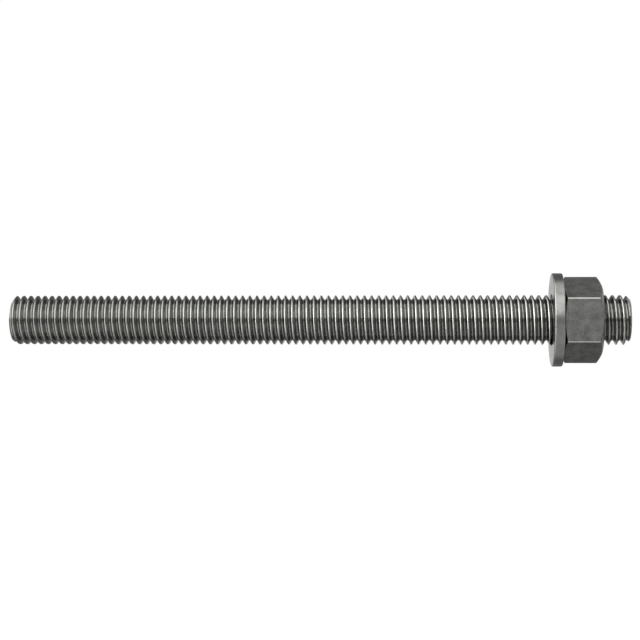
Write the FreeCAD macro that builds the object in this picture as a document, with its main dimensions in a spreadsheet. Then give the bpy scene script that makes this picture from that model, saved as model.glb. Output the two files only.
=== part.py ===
import FreeCAD, Part
import os

import Sketcher

# Threaded anchor rod with its washer and hexagon nut, in millimetres.
# The rod's axis is the X axis. The end that goes into the wall is at X = 0,
# and the washer and the nut are near the other end, the nut with two corners up and down.

document = FreeCAD.newDocument("anchor_rod")

# Driving dimensions
sheet = document.addObject("Spreadsheet::Sheet", "sizes")
driving_sizes = {
    "rod_length": 150,
    "thread_diameter": 12,
    "inner_end_chamfer": 0.86,
    "outer_end_chamfer": 1.0,
    "projection": 6.75,
    "washer_diameter": 22.5,
    "washer_play": 0.4,
    "washer_thickness": 2.5,
    "washer_rounding": 0.3,
    "nut_width": 18,
    "nut_height": 9.3,
    "nut_clearance": 0.05,
    "outer_face_share": 0.944,
    "outer_chamfer_slope": 30,
    "inner_face_share": 0.956,
    "inner_chamfer_slope": 20,
    "countersink_step": 0.5,
    "countersink_slope": 30,
}
for row, (alias, size) in enumerate(driving_sizes.items(), start=1):
    sheet.set(f"A{row}", alias)
    sheet.set(f"B{row}", str(size))
    sheet.setAlias(f"B{row}", alias)
document.recompute()

# Sizes that follow from the driving ones
thread_radius = "sizes.thread_diameter / 2"
washer_radius = "sizes.washer_diameter / 2"
washer_hole_radius = "(sizes.thread_diameter + sizes.washer_play) / 2"
nut_bore_radius = f"({thread_radius} + sizes.nut_clearance)"
countersink_radius = f"({nut_bore_radius} + sizes.countersink_step)"
countersink_depth = "sizes.countersink_step * tan(sizes.countersink_slope * 1 deg)"
nut_corner_radius = "(sizes.nut_width / 2 / cos(30 deg))"
nut_start = "(sizes.rod_length - sizes.projection - sizes.nut_height)"
washer_start = f"({nut_start} - sizes.washer_thickness)"


def new_sketch(body, name, plane_role):
    """Start a sketch on one of the body's own origin planes."""
    sketch = body.newObject("Sketcher::SketchObject", name)
    plane = next(part for part in body.Origin.OriginFeatures if part.Role == plane_role)
    sketch.AttachmentSupport = [(plane, "")]
    sketch.MapMode = "FlatFace"
    return sketch


def constrain(sketch, kind, name, places, expression):
    """Add a dimension that takes its value from the sheet."""
    size = float(sheet.evalExpression(expression))
    index = sketch.addConstraint(Sketcher.Constraint(kind, *places, size))
    sketch.renameConstraint(index, name)
    sketch.setExpression(f"Constraints.{name}", expression)


def draw_outline(sketch, corners):
    """Draw a closed run of lines, each corner given a name, a place along and a place up."""
    origin = (-1, 1)
    points = []
    for _, along, up in corners:
        place = [float(sheet.evalExpression(size)) for size in (along, up)]
        points.append(FreeCAD.Vector(*place, 0))
    first = sketch.GeometryCount
    following = [first + (step + 1) % len(points) for step in range(len(points))]
    for start, end in zip(points, points[1:] + points[:1]):
        sketch.addGeometry(Part.LineSegment(start, end))
    for line, (name, along, up) in enumerate(corners, start=first):
        sketch.addConstraint(Sketcher.Constraint("Coincident", line, 2, following[line - first], 1))
        constrain(sketch, "DistanceX", f"{name}_along", (*origin, line, 1), along)
        constrain(sketch, "DistanceY", f"{name}_up", (*origin, line, 1), up)


def draw_circle(sketch, name, radius):
    """Draw a circle round the sketch's origin."""
    size = float(sheet.evalExpression(radius))
    circle = sketch.addGeometry(Part.Circle(FreeCAD.Vector(), FreeCAD.Vector(0, 0, 1), size))
    sketch.addConstraint(Sketcher.Constraint("Coincident", circle, 3, -1, 1))
    constrain(sketch, "Radius", name, (circle,), radius)
    return circle


def turn_about_axis(body, kind, name, sketch):
    """Turn a sketch all the way round the X axis, to add or to cut."""
    feature = body.newObject(kind, name)
    feature.Profile = sketch
    feature.ReferenceAxis = (sketch, ["H_Axis"])
    feature.Angle = 360
    document.recompute()
    return feature


def pad_along_axis(body, name, sketch, length):
    """Raise a sketch from the YZ plane towards +X."""
    pad = body.newObject("PartDesign::Pad", name)
    pad.Profile = sketch
    pad.setExpression("Length", length)
    document.recompute()
    return pad


def build_rod():
    """Turn the rod, whose surface lies on the thread's crests, with a chamfer at each end."""
    body = document.addObject("PartDesign::Body", "threaded_rod")
    profile = new_sketch(body, "rod_profile", "XZ_Plane")
    inner_face_radius = f"{thread_radius} - sizes.inner_end_chamfer"
    outer_face_radius = f"{thread_radius} - sizes.outer_end_chamfer"
    draw_outline(profile, [
        ("inner_centre", "0", "0"),
        ("outer_centre", "sizes.rod_length", "0"),
        ("outer_face", "sizes.rod_length", outer_face_radius),
        ("outer_shoulder", "sizes.rod_length - sizes.outer_end_chamfer", thread_radius),
        ("inner_shoulder", "sizes.inner_end_chamfer", thread_radius),
        ("inner_face", "0", inner_face_radius),
    ])
    turn_about_axis(body, "PartDesign::Revolution", "rod_turning", profile)
    return body


def build_washer():
    """Punch the washer and round the two edges of its rim."""
    body = document.addObject("PartDesign::Body", "flat_washer")
    ring = new_sketch(body, "washer_ring", "YZ_Plane")
    draw_circle(ring, "rim_radius", washer_radius)
    draw_circle(ring, "hole_radius", washer_hole_radius)
    pad = pad_along_axis(body, "washer_plate", ring, "sizes.washer_thickness")
    rim_radius = float(sheet.evalExpression(washer_radius))
    rim_edges = [
        f"Edge{number}"
        for number, edge in enumerate(pad.Shape.Edges, start=1)
        if isinstance(edge.Curve, Part.Circle) and abs(edge.Curve.Radius - rim_radius) < 0.001
    ]
    rounding = body.newObject("PartDesign::Fillet", "rim_rounding")
    rounding.Base = (pad, rim_edges)
    rounding.setExpression("Radius", "sizes.washer_rounding")
    body.setExpression("Placement.Base.x", washer_start)
    return body


def draw_hexagon(sketch):
    """Draw the nut's hexagon with two corners on the vertical axis."""
    corner_circle = draw_circle(sketch, "corner_radius", nut_corner_radius)
    sketch.setConstruction(corner_circle, True)
    radius = float(sheet.evalExpression(nut_corner_radius))
    corners = [
        FreeCAD.Rotation(FreeCAD.Vector(0, 0, 1), 60 * side).multVec(FreeCAD.Vector(0, radius, 0))
        for side in range(6)
    ]
    sides = [
        sketch.addGeometry(Part.LineSegment(corners[side - 1], corners[side]))
        for side in range(6)
    ]
    for side, line in enumerate(sides):
        sketch.addConstraint(Sketcher.Constraint("Coincident", sides[side - 1], 2, line, 1))
        sketch.addConstraint(Sketcher.Constraint("PointOnObject", line, 2, corner_circle))
    for line in sides[1:]:
        sketch.addConstraint(Sketcher.Constraint("Equal", sides[0], line))
    sketch.addConstraint(Sketcher.Constraint("PointOnObject", sides[0], 2, -2))


def build_nut():
    """Pad the bored hexagon, then turn off its corners and countersink both ends of the bore."""
    body = document.addObject("PartDesign::Body", "hex_nut")
    hexagon = new_sketch(body, "nut_hexagon", "YZ_Plane")
    draw_hexagon(hexagon)
    draw_circle(hexagon, "bore_radius", nut_bore_radius)
    pad_along_axis(body, "nut_blank", hexagon, "sizes.nut_height")

    # Each corner chamfer is a triangle that starts on the face and leaves past the corner
    clear_radius = f"{nut_corner_radius} * 1.1"
    inner_face = "sizes.nut_width / 2 * sizes.inner_face_share"
    outer_face = "sizes.nut_width / 2 * sizes.outer_face_share"
    inner_drop = f"({clear_radius} - {inner_face}) * tan(sizes.inner_chamfer_slope * 1 deg)"
    outer_drop = f"({clear_radius} - {outer_face}) * tan(sizes.outer_chamfer_slope * 1 deg)"
    chamfers = new_sketch(body, "corner_chamfers", "XZ_Plane")
    draw_outline(chamfers, [
        ("inner_face", "0", inner_face),
        ("inner_clear", "0", clear_radius),
        ("inner_drop", inner_drop, clear_radius),
    ])
    draw_outline(chamfers, [
        ("outer_face", "sizes.nut_height", outer_face),
        ("outer_clear", "sizes.nut_height", clear_radius),
        ("outer_drop", f"sizes.nut_height - {outer_drop}", clear_radius),
    ])
    turn_about_axis(body, "PartDesign::Groove", "corner_turning", chamfers)

    countersinks = new_sketch(body, "bore_countersinks", "XZ_Plane")
    draw_outline(countersinks, [
        ("inner_bore", countersink_depth, nut_bore_radius),
        ("inner_edge", "0", nut_bore_radius),
        ("inner_mouth", "0", countersink_radius),
    ])
    draw_outline(countersinks, [
        ("outer_bore", f"sizes.nut_height - {countersink_depth}", nut_bore_radius),
        ("outer_edge", "sizes.nut_height", nut_bore_radius),
        ("outer_mouth", "sizes.nut_height", countersink_radius),
    ])
    turn_about_axis(body, "PartDesign::Groove", "bore_turning", countersinks)
    body.setExpression("Placement.Base.x", nut_start)
    return body


pieces = [build_rod(), build_washer(), build_nut()]
document.recompute()

# Nothing is written unless every object worked out and every piece is one sound solid
for item in document.Objects:
    if "Invalid" in item.State or "Error" in item.State:
        raise RuntimeError(f"{item.Label} could not be worked out: {item.State}")
for piece in pieces:
    if piece.Shape.isNull() or not piece.Shape.isValid() or len(piece.Shape.Solids) != 1:
        raise RuntimeError(f"{piece.Label} is not one sound solid")

os.makedirs("parts", exist_ok=True)
for piece in pieces:
    piece.Shape.exportStep(f"parts/{piece.Label}.step")
    box = piece.Shape.optimalBoundingBox()
    print(f"{piece.Label}: X {box.XMin:.3f} to {box.XMax:.3f}, Y {box.YMin:.3f} to {box.YMax:.3f}, "
          f"Z {box.ZMin:.3f} to {box.ZMax:.3f}, volume {piece.Shape.Volume:.2f}")
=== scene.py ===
import math

import bmesh
import bpy
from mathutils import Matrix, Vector


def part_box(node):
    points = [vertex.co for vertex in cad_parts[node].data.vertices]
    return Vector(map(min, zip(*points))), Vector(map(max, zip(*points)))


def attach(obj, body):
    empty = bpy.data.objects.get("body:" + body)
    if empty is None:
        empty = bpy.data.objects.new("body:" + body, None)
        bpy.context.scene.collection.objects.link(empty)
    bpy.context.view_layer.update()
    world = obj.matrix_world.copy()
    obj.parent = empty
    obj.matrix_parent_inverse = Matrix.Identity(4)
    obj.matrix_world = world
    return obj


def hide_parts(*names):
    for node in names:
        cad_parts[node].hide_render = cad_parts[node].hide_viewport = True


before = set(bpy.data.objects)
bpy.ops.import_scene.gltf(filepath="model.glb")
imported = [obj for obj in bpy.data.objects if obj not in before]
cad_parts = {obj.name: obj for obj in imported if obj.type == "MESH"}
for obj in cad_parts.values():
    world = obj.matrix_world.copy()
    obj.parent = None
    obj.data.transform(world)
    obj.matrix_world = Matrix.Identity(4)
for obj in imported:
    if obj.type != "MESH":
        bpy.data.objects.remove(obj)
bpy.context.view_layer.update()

MM = 0.001

# Sizes that come from the frame, in metres
rod_low, rod_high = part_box("threaded_rod")
washer_low, washer_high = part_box("flat_washer")
nut_low, nut_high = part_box("hex_nut")
rod_length = rod_high.x - rod_low.x
rod_radius = rod_high.z
washer_radius = washer_high.z
nut_height = nut_high.x - nut_low.x
nut_half_width = nut_high.y

# Thread: sixty degree flanks, a round crest and a round root, right-handed
pitch = 1.75 * MM
flank_angle = math.radians(30)
sharp_height = pitch / 2 / math.tan(flank_angle)
crest_rounding = sharp_height / 6
root_rounding = sharp_height / 7
first_crest = 0.668 * MM
steps_per_turn = 60
crest_steps = 3
root_steps = 3
flank_steps = 2

# Ends of the rod
inner_face_radius = 5.14 * MM
outer_face_radius = 5.0 * MM

# Nut
nut_corner_rounding = 0.14 * MM
nut_corner_centre = (nut_half_width - nut_corner_rounding) / math.cos(math.radians(30))
nut_corner_radius = nut_corner_centre + nut_corner_rounding
nut_outer_face_radius = 8.5 * MM
nut_inner_face_radius = 8.6 * MM
nut_outer_slope = math.radians(30)
nut_inner_slope = math.radians(20)
nut_edge_softness = 0.12 * MM
countersink_radius = 6.55 * MM
countersink_slope = math.radians(30)
thread_gap = 0.06 * MM

# Washer
washer_hole_radius = 6.2 * MM
washer_edge_rounding = 0.3 * MM
washer_hole_rounding = 0.12 * MM


def new_object(name, mesh):
    """Link a mesh to the scene under a plain name."""
    piece = bpy.data.objects.new(name, mesh)
    bpy.context.scene.collection.objects.link(piece)
    return piece


def shade(mesh, sharp_degrees):
    """Shade smoothly across edges that turn by less than this angle."""
    mesh.polygons.foreach_set("use_smooth", [True] * len(mesh.polygons))
    mesh.set_sharp_from_angle(angle=math.radians(sharp_degrees))


def around_axis(along, radius, angle):
    """A point at an angle that starts at the top and turns right-handed about +X."""
    return Vector((along, -radius * math.sin(angle), radius * math.cos(angle)))


def thread_profile():
    """One pitch of the thread, as distances from the crest's middle and radii, crest first."""
    apex = rod_radius + crest_rounding
    crest_centre = apex - crest_rounding / math.sin(flank_angle)
    root_centre = apex - sharp_height + root_rounding / math.sin(flank_angle)
    widest = math.pi / 2 - flank_angle
    half = []
    for step in range(crest_steps + 1):
        lean = widest * step / crest_steps
        half.append((crest_rounding * math.sin(lean), crest_centre + crest_rounding * math.cos(lean)))
    root_half = []
    for step in range(root_steps, -1, -1):
        lean = widest * step / root_steps
        along = pitch / 2 - root_rounding * math.sin(lean)
        root_half.append((along, root_centre - root_rounding * math.cos(lean)))
    crest_end, root_start = Vector(half[-1]), Vector(root_half[0])
    half += [tuple(crest_end.lerp(root_start, step / flank_steps)) for step in range(1, flank_steps)]
    half += root_half
    mirrored = [(pitch - along, radius) for along, radius in reversed(half[1:-1])]
    return half + mirrored


def thread_mesh(start, end, shape_radius):
    """A helical thread surface from start to end, its radius adjusted by shape_radius(along, radius)."""
    profile = thread_profile()
    first_turn = math.floor((start - first_crest) / pitch) - 1
    turns = math.ceil((end - start) / pitch) + 3
    offsets = [
        first_crest + (first_turn + turn) * pitch + along
        for turn in range(turns)
        for along, _ in profile
    ]
    radii = [radius for _ in range(turns) for _, radius in profile]
    per_pitch = len(profile)
    row_length = len(offsets)

    builder = bmesh.new()
    rows = []
    for step in range(steps_per_turn):
        share = step / steps_per_turn
        row = []
        for offset, radius in zip(offsets, radii):
            along = offset + pitch * share
            place = around_axis(along, shape_radius(along, radius), 2 * math.pi * share)
            row.append(builder.verts.new(place))
        rows.append(row)
    for step in range(steps_per_turn):
        here = rows[step]
        last = step == steps_per_turn - 1
        there = rows[0] if last else rows[step + 1]
        shift = per_pitch if last else 0
        for point in range(row_length - 1 - shift):
            builder.faces.new((
                here[point],
                here[point + 1],
                there[point + 1 + shift],
                there[point + shift],
            ))
    for along, direction in ((start, -1), (end, 1)):
        bmesh.ops.bisect_plane(
            builder,
            geom=builder.verts[:] + builder.edges[:] + builder.faces[:],
            plane_co=(along, 0, 0),
            plane_no=(direction, 0, 0),
            clear_outer=True,
        )
    return builder


def close_end(builder, along):
    """Fill the flat end of a threaded surface."""
    rim = [
        edge for edge in builder.edges
        if edge.is_boundary and all(abs(corner.co.x - along) < 1e-7 for corner in edge.verts)
    ]
    bmesh.ops.edgeloop_fill(builder, edges=rim)


def make_rod():
    """The rod, its thread cut back by a cone at each end."""
    def shape_radius(along, radius):
        inner_cone = inner_face_radius + max(along - rod_low.x, 0)
        outer_cone = outer_face_radius + max(rod_high.x - along, 0)
        return min(radius, inner_cone, outer_cone)

    builder = thread_mesh(rod_low.x, rod_high.x, shape_radius)
    close_end(builder, rod_low.x)
    close_end(builder, rod_high.x)
    bmesh.ops.recalc_face_normals(builder, faces=builder.faces[:])
    mesh = bpy.data.meshes.new("rod_thread")
    builder.to_mesh(mesh)
    builder.free()
    shade(mesh, 30)
    return new_object("rod_thread", mesh)


def revolve(builder, outline, steps):
    """Turn an outline of (along, radius) points about the X axis."""
    rows = []
    for step in range(steps):
        angle = 2 * math.pi * step / steps
        rows.append([builder.verts.new(around_axis(along, radius, angle)) for along, radius in outline])
    for step, row in enumerate(rows):
        following = rows[(step + 1) % steps]
        for point in range(len(outline)):
            after = (point + 1) % len(outline)
            builder.faces.new((row[point], row[after], following[after], following[point]))


def rounded_corner(along, radius, rounding, start_degrees):
    """Points of a quarter arc inside a corner of the outline."""
    pieces = 5
    points = []
    for step in range(pieces + 1):
        angle = math.radians(start_degrees + 90 * step / pieces)
        points.append((along + rounding * math.cos(angle), radius + rounding * math.sin(angle)))
    return points


def make_washer():
    """A punched ring with rounded edges."""
    start, end = washer_low.x, washer_high.x
    edge, hole = washer_edge_rounding, washer_hole_rounding
    outline = []
    outline += rounded_corner(end - edge, washer_radius - edge, edge, 0)
    outline += rounded_corner(start + edge, washer_radius - edge, edge, 90)
    outline += rounded_corner(start + hole, washer_hole_radius + hole, hole, 180)
    outline += rounded_corner(end - hole, washer_hole_radius + hole, hole, 270)
    builder = bmesh.new()
    revolve(builder, outline, 192)
    bmesh.ops.recalc_face_normals(builder, faces=builder.faces[:])
    mesh = bpy.data.meshes.new("washer_ring")
    builder.to_mesh(mesh)
    builder.free()
    shade(mesh, 40)
    return new_object("washer_ring", mesh)


def smooth_least(first, second, softness):
    """The smaller of two sizes, with a soft change from one to the other."""
    mix = max(softness - abs(first - second), 0) / softness
    return min(first, second) - mix * mix * softness / 4


def hexagon_radius(angle):
    """Distance from the axis to the hexagon's side, with a corner at the top and rounded corners."""
    sector = math.radians(60)
    from_corner = abs((angle + sector / 2) % sector - sector / 2)
    reach = nut_corner_centre + nut_corner_rounding * math.cos(math.radians(30))
    tangent = math.atan2(nut_corner_rounding / 2, reach)
    if from_corner < tangent:
        across = nut_corner_centre * math.sin(from_corner)
        return nut_corner_centre * math.cos(from_corner) + math.sqrt(nut_corner_rounding**2 - across**2)
    return nut_half_width / math.cos(sector / 2 - from_corner)


def hexagon_angles():
    """Angles round the nut, closer together at the corners."""
    near_corner = [0.3, 0.65, 1.0, 1.3, 2.0]
    flat_steps = 22
    sector = 60
    angles = []
    for corner in range(6):
        first = corner * sector
        angles.append(first)
        angles += [first + lean for lean in near_corner]
        low, high = near_corner[-1], sector - near_corner[-1]
        angles += [first + low + (high - low) * step / flat_steps for step in range(1, flat_steps)]
        angles += [first + sector - lean for lean in reversed(near_corner)]
    return [math.radians(angle) for angle in angles]


def nut_stations():
    """Distances along the nut, closer together where the corners are turned off."""
    fine = 0.07 * MM
    inner_zone, outer_zone = 0.8 * MM, 1.3 * MM
    stations = [step * fine for step in range(int(inner_zone / fine) + 1)]
    middle_steps = 8
    low, high = stations[-1], nut_height - outer_zone
    stations += [low + (high - low) * step / middle_steps for step in range(1, middle_steps)]
    outer_steps = round(outer_zone / fine)
    stations += [high + outer_zone * step / outer_steps for step in range(outer_steps + 1)]
    return stations


def make_nut():
    """The hexagon with turned corners, and a countersunk thread inside that runs on the rod's."""
    builder = bmesh.new()
    angles = hexagon_angles()
    rings = []
    for station in nut_stations():
        inner_cone = nut_inner_face_radius + station / math.tan(nut_inner_slope)
        outer_cone = nut_outer_face_radius + (nut_height - station) / math.tan(nut_outer_slope)
        cone = min(inner_cone, outer_cone)
        rings.append([
            builder.verts.new(around_axis(
                nut_low.x + station,
                smooth_least(hexagon_radius(angle), cone, nut_edge_softness),
                angle,
            ))
            for angle in angles
        ])
    inner_mouth, outer_mouth = [
        [builder.verts.new(around_axis(along, countersink_radius, angle)) for angle in angles]
        for along in (nut_low.x, nut_high.x)
    ]
    rings = [inner_mouth] + rings + [outer_mouth]
    for near, far in zip(rings, rings[1:]):
        for point in range(len(angles)):
            after = (point + 1) % len(angles)
            builder.faces.new((near[point], near[after], far[after], far[point]))
    bmesh.ops.recalc_face_normals(builder, faces=builder.faces[:])
    mesh = bpy.data.meshes.new("nut_body")
    builder.to_mesh(mesh)
    builder.free()

    def shape_radius(along, radius):
        depth = max(min(along - nut_low.x, nut_high.x - along), 0)
        cone = countersink_radius - depth / math.tan(countersink_slope)
        return max(radius + thread_gap, cone)

    inside = thread_mesh(nut_low.x, nut_high.x, shape_radius)
    for face in inside.faces:
        face.normal_update()
        outward = face.calc_center_median() * Vector((0, 1, 1))
        if face.normal.dot(outward) > 0:
            face.normal_flip()
    inside.from_mesh(mesh)
    inside.to_mesh(mesh)
    inside.free()
    shade(mesh, 35)
    return new_object("nut_body", mesh)


def add_node(tree, kind, **values):
    """Add a node and set its properties, or its inputs where the name is an input's."""
    node = tree.nodes.new(kind)
    for name, value in values.items():
        if name in node.inputs:
            feed(tree, node.inputs[name], value)
        else:
            setattr(node, name, value)
    return node


def feed(tree, socket, value):
    """Give an input either a link from an output or a plain value."""
    if isinstance(value, bpy.types.NodeSocket):
        tree.links.new(value, socket)
    else:
        socket.default_value = value


def calculate(tree, operation, *values):
    """The result of a Math node on outputs or numbers."""
    node = add_node(tree, "ShaderNodeMath", operation=operation)
    for socket, value in zip(node.inputs, values):
        feed(tree, socket, value)
    return node.outputs["Value"]


def ramp(tree, source, low, high, low_value, high_value):
    """Turn a stretch of a value into a stretch of another."""
    node = add_node(tree, "ShaderNodeMapRange", Value=source)
    node.inputs["From Min"].default_value = low
    node.inputs["From Max"].default_value = high
    node.inputs["To Min"].default_value = low_value
    node.inputs["To Max"].default_value = high_value
    return node.outputs["Result"]


def mix_colours(tree, share, first, second):
    """A colour between two others."""
    node = add_node(tree, "ShaderNodeMix", data_type="RGBA")
    for name, value in (("Factor", share), ("A", first), ("B", second)):
        feed(tree, node.inputs[name], value)
    return node.outputs["Result"]


def distance(tree, x, y, z):
    """The length of a vector, given by its parts."""
    vector = add_node(tree, "ShaderNodeCombineXYZ", X=x, Y=y, Z=z)
    node = add_node(tree, "ShaderNodeVectorMath", operation="LENGTH")
    feed(tree, node.inputs[0], vector.outputs["Vector"])
    return node.outputs["Value"]


def paint_flank_shade(tree, colour, facing_along, painted_flank_shade):
    """Paint shade on the surfaces that lean by the thread's flank angle, either way along the rod, by
    darkening their colour.
    """
    steepness = calculate(tree, "ABSOLUTE", facing_along)
    past_flank = calculate(tree, "SUBTRACT", steepness, math.cos(flank_angle))
    off_flank = calculate(tree, "ABSOLUTE", past_flank)
    node = add_node(tree, "ShaderNodeVectorMath", operation="SCALE")
    feed(tree, node.inputs[0], colour)
    feed(tree, node.inputs["Scale"], ramp(tree, off_flank, 0.03, 0.13, painted_flank_shade, 1))
    return node.outputs["Vector"]


def zinc_steel(name, dark, light, roughness, grain_size, grain_height, streaks, wear_and_highlight,
               painted_flank_shade=1.0, wear_and_highlight_at_inner_end=1.0):
    """Dull zinc plate: mottled colour, uneven gloss and a fine grain, drawn out round the axis by streaks.

    The outermost edges are worn to a brighter grey, which is partly wear and partly a painted highlight:
    it is set only on edges that face the given way, on the rod the side that the left lamp lights, and it
    grows along the rod as the lit stripes do. The given triple holds that grey, the radii between which it
    sets in, and how far the surface faces the rod's outer end where it starts and where it is full. It
    begins at the inner end with a given share of its strength and is full two thirds of the way along the
    rod. The thread's flanks are darkened by a given factor, a painted shade.
    """
    material = bpy.data.materials.new(name)
    material.use_nodes = True
    tree = material.node_tree
    shader = tree.nodes["Principled BSDF"]
    shader.inputs["Metallic"].default_value = 1.0

    coordinates = add_node(tree, "ShaderNodeTexCoord")
    place = coordinates.outputs["Object"]
    parts = add_node(tree, "ShaderNodeSeparateXYZ", Vector=place).outputs
    facing_along = add_node(tree, "ShaderNodeSeparateXYZ", Vector=coordinates.outputs["Normal"]).outputs["X"]

    # Patches a few millimetres across, as the plating leaves them
    patches = add_node(tree, "ShaderNodeTexNoise", Vector=place, Scale=450.0, Detail=4.0, Roughness=0.6)

    # A fine grain, stretched round the axis where the piece was rolled or turned
    stretched = add_node(
        tree, "ShaderNodeCombineXYZ",
        X=parts["X"],
        Y=calculate(tree, "MULTIPLY", parts["Y"], 1.0 - streaks),
        Z=calculate(tree, "MULTIPLY", parts["Z"], 1.0 - streaks),
    )
    grain = add_node(
        tree, "ShaderNodeTexNoise",
        Vector=stretched.outputs["Vector"], Scale=1.0 / grain_size, Detail=3.0, Roughness=0.65,
    )
    half_patches = calculate(tree, "MULTIPLY", patches.outputs["Fac"], 0.5)
    mottle = calculate(tree, "MULTIPLY_ADD", grain.outputs["Fac"], 0.5, half_patches)

    colour = mix_colours(tree, ramp(tree, mottle, 0.38, 0.62, 0, 1), (*dark, 1), (*light, 1))
    # Painted shade on the thread's flanks
    shaded = paint_flank_shade(tree, colour, facing_along, painted_flank_shade)

    # Worn edges, partly a painted highlight on the side that faces the given way, growing along the rod
    worn_and_highlight_grey, outermost, lean = wear_and_highlight
    radius = distance(tree, 0.0, parts["Y"], parts["Z"])
    edge = calculate(
        tree, "MULTIPLY",
        ramp(tree, radius, *outermost, 0, 1),
        ramp(tree, facing_along, *lean, 0, 1),
    )
    wear_and_highlight_growth = ramp(tree, parts["X"], 0, rod_length * 0.66, wear_and_highlight_at_inner_end, 1)
    worn_and_highlit = mix_colours(tree, calculate(tree, "MULTIPLY", edge, wear_and_highlight_growth), shaded, (*worn_and_highlight_grey, 1))
    feed(tree, shader.inputs["Base Color"], worn_and_highlit)

    gloss = ramp(tree, mottle, 0.35, 0.65, roughness + 0.05, roughness - 0.05)
    feed(tree, shader.inputs["Roughness"], gloss)

    bump = add_node(
        tree, "ShaderNodeBump",
        Strength=1.0, Distance=grain_height, Height=grain.outputs["Fac"],
    )
    feed(tree, shader.inputs["Normal"], bump.outputs["Normal"])
    return material


def zinc_grey(level):
    """A grey of zinc plate, which leans slightly to green and yellow."""
    return (level * 0.985, level, level * 0.945)


rod = make_rod()
rod.data.materials.append(zinc_steel(
    "rod_zinc", zinc_grey(0.18), zinc_grey(0.245), roughness=0.18,
    grain_size=1.6 * MM, grain_height=0.0015 * MM, streaks=0.7,
    # Wear with a painted highlight on the crests' shoulders that face the inner end, and painted shade on
    # the flanks
    wear_and_highlight=(zinc_grey(0.75), (rod_radius - 0.24 * MM, rod_radius - 0.12 * MM), (-0.15, -0.5)),
    painted_flank_shade=0.8, wear_and_highlight_at_inner_end=0.03,
))
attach(rod, "rod")
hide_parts("threaded_rod")

washer = make_washer()
washer.data.materials.append(zinc_steel(
    "washer_zinc", zinc_grey(0.145), zinc_grey(0.205), roughness=0.3,
    grain_size=0.3 * MM, grain_height=0.004 * MM, streaks=0.0,
    # Wear with a painted highlight on the rim's edge that faces the inner end
    wear_and_highlight=(zinc_grey(0.5), (washer_radius - 0.08 * MM, washer_radius - 0.03 * MM), (-0.1, -0.4)),
))
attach(washer, "washer")
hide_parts("flat_washer")

nut = make_nut()
nut.data.materials.append(zinc_steel(
    "nut_zinc", zinc_grey(0.085), zinc_grey(0.22), roughness=0.36,
    grain_size=0.3 * MM, grain_height=0.004 * MM, streaks=0.0,
    # Wear with a painted highlight along the corner ridges
    wear_and_highlight=(zinc_grey(0.42), (nut_corner_radius - 0.1 * MM, nut_corner_radius - 0.04 * MM), (1.0, 0.9)),
))
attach(nut, "nut")
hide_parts("hex_nut")


# Surroundings
floor_level = -100 * MM
floor_reach = 3.0
soft_fill = 0.3
rod_middle = Vector((rod_length / 2, 0, 0))

# Camera: level with the rod's axis, opposite a point towards its nut, and turned to the rod's middle
image_width = 640
sensor_width = 36
focal_pixels = 1510.5
camera_position = Vector((101.55, -366.8, 0)) * MM
camera_target = Vector((75.6, 0, 0)) * MM
camera_data = bpy.data.cameras.new("photo_camera")
camera_data.sensor_width = sensor_width
camera_data.lens = sensor_width * focal_pixels / image_width
camera_data.clip_start = 0.01
camera = bpy.data.objects.new("photo_camera", camera_data)
bpy.context.scene.collection.objects.link(camera)
camera.location = camera_position
camera.rotation_euler = (camera_target - camera_position).to_track_quat("-Z", "Y").to_euler()
bpy.context.scene.camera = camera


def white_to_eye_and_metal(tree):
    """One for rays from the camera and for reflections and refractions, and nought for the rest."""
    rays = add_node(tree, "ShaderNodeLightPath").outputs
    eye_or_gloss = calculate(tree, "MAXIMUM", rays["Is Camera Ray"], rays["Is Glossy Ray"])
    return calculate(tree, "MAXIMUM", eye_or_gloss, rays["Is Transmission Ray"])


def make_floor():
    """A plain pale floor well below the part, which fades into the white surrounding far from it."""
    builder = bmesh.new()
    bmesh.ops.create_grid(builder, x_segments=1, y_segments=1, size=floor_reach)
    mesh = bpy.data.meshes.new("floor")
    builder.to_mesh(mesh)
    builder.free()
    floor = new_object("floor", mesh)
    floor.location = (rod_length / 2, 0, floor_level)

    material = bpy.data.materials.new("pale_floor")
    material.use_nodes = True
    tree = material.node_tree
    shader = tree.nodes["Principled BSDF"]
    shader.inputs["Roughness"].default_value = 0.9
    shader.inputs["Emission Color"].default_value = (1, 1, 1, 1)
    place = add_node(tree, "ShaderNodeTexCoord")
    parts = add_node(tree, "ShaderNodeSeparateXYZ", Vector=place.outputs["Object"]).outputs
    reach = distance(tree, calculate(tree, "MULTIPLY", parts["X"], 0.6), parts["Y"], parts["Z"])
    fade = ramp(tree, reach, 0.05, 0.105, 0, 1)
    glow = calculate(tree, "MULTIPLY", white_to_eye_and_metal(tree), fade)
    feed(tree, shader.inputs["Emission Strength"], glow)
    feed(tree, shader.inputs["Base Color"], mix_colours(tree, glow, (0.85, 0.85, 0.85, 1), (0, 0, 0, 1)))
    mesh.materials.append(material)


def make_world():
    """A white surrounding, seen by the camera and in reflections, that lights the rest only softly."""
    world = bpy.data.worlds.new("studio")
    bpy.context.scene.world = world
    world.use_nodes = True
    tree = world.node_tree
    background = tree.nodes["Background"]
    background.inputs["Color"].default_value = (1, 1, 1, 1)
    strength = ramp(tree, white_to_eye_and_metal(tree), 0, 1, soft_fill, 1.0)
    feed(tree, background.inputs["Strength"], strength)


def direction(elevation, azimuth):
    """A unit vector away from the part: azimuth 0 is the camera's side, and positive is to the right."""
    up, side = math.radians(elevation), math.radians(azimuth)
    return Vector((math.sin(side) * math.cos(up), -math.cos(side) * math.cos(up), math.sin(up)))


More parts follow.
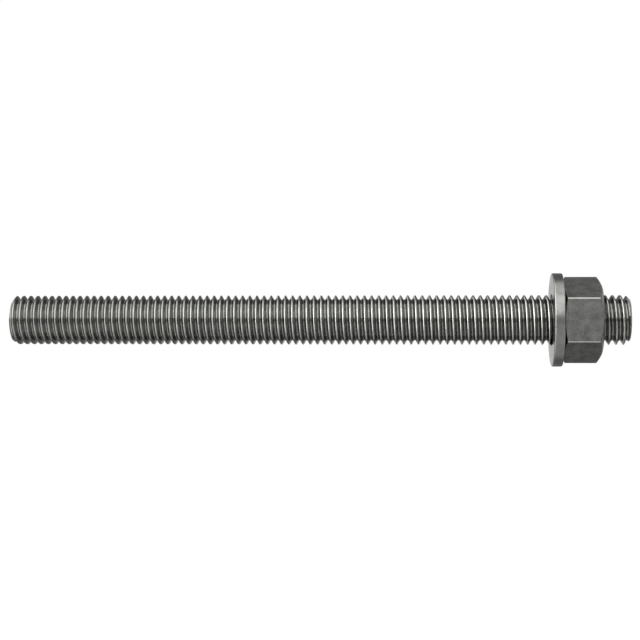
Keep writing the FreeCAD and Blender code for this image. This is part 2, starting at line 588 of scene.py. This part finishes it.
def area_light(name, elevation, azimuth, reach, width, height, radiance):
    """A soft rectangular lamp aimed at the middle of the rod."""
    lamp = bpy.data.lights.new(name, "AREA")
    lamp.shape = "RECTANGLE"
    lamp.size = width
    lamp.size_y = height
    lamp.energy = radiance * math.pi * width * height
    holder = bpy.data.objects.new(name, lamp)
    bpy.context.scene.collection.objects.link(holder)
    toward = direction(elevation, azimuth)
    holder.location = rod_middle + toward * reach
    holder.rotation_euler = toward.to_track_quat("Z", "Y").to_euler()


def reflection_card(name, centre, facing, width, height, grey):
    """A card that only reflections show, dark or light, as a studio sets up for bare metal."""
    builder = bmesh.new()
    bmesh.ops.create_grid(builder, x_segments=1, y_segments=1, size=0.5)
    bmesh.ops.scale(builder, vec=(width, height, 1), verts=builder.verts[:])
    mesh = bpy.data.meshes.new(name)
    builder.to_mesh(mesh)
    builder.free()
    card = new_object(name, mesh)
    card.location = centre
    card.rotation_euler = facing.to_track_quat("Z", "Y").to_euler()
    card.visible_camera = False
    card.visible_diffuse = False
    card.visible_shadow = False
    material = bpy.data.materials.new(name)
    material.use_nodes = True
    shader = material.node_tree.nodes["Principled BSDF"]
    shader.inputs["Base Color"].default_value = (0.02, 0.02, 0.02, 1)
    shader.inputs["Roughness"].default_value = 1.0
    shader.inputs["Emission Color"].default_value = (1, 1, 1, 1)
    shader.inputs["Emission Strength"].default_value = grey
    mesh.materials.append(material)


make_floor()
make_world()

# A soft box in front, a second one over the part and a lower one at the left
area_light("front_box", elevation=35, azimuth=0, reach=0.45, width=1.0, height=0.4, radiance=1.7)
area_light("top_box", elevation=78, azimuth=0, reach=0.45, width=1.0, height=0.4, radiance=1.3)
area_light("left_strip", elevation=10, azimuth=-65, reach=0.55, width=0.45, height=0.6, radiance=2.35)

# Over and behind the part: a light grey card, and a dark one before its middle for the upper outline
reflection_card(
    "card_above", rod_middle + direction(137, 0) * 0.5, -direction(137, 0),
    width=1.4, height=0.75, grey=0.7,
)
reflection_card(
    "card_above_middle", Vector((0.12, 0, 0)) + direction(142, 0) * 0.45, -direction(142, 0),
    width=0.36, height=0.56, grey=0.2,
)

# Under the part: a dark card for the lower faces, and a lighter one far behind for the thread's lower tips
reflection_card(
    "card_below", Vector((rod_middle.x, 0.16, floor_level + 1 * MM)), Vector((0, 0, 1)),
    width=1.4, height=0.28, grey=0.26,
)
reflection_card(
    "card_below_far", Vector((rod_middle.x, 0.45, floor_level + 1 * MM)), Vector((0, 0, 1)),
    width=1.4, height=0.3, grey=0.65,
)

# Before the part: the nut's near face
reflection_card(
    "card_front", rod_middle + direction(0, 0) * 0.6, -direction(0, 0),
    width=1.0, height=0.3, grey=0.45,
)

# At the sides: dark for the washer's face and for the flanks that face the nut, and light on the floor
# at the left for the crests' edges, worn and painted lighter as a highlight
reflection_card(
    "card_left", Vector((-0.33, 0.24, -0.02)), Vector((1, 0, 0)),
    width=0.44, height=0.16, grey=0.12,
)
reflection_card(
    "card_right", Vector((0.5, -0.19, 0.1)), Vector((-1, 0, 0)),
    width=0.42, height=0.4, grey=0.08,
)
reflection_card(
    "card_left_floor", Vector((-0.22, -0.13, floor_level + 1 * MM)), Vector((0, 0, 1)),
    width=0.4, height=0.2, grey=2.4,
)

bpy.context.scene.view_settings.view_transform = "Standard"
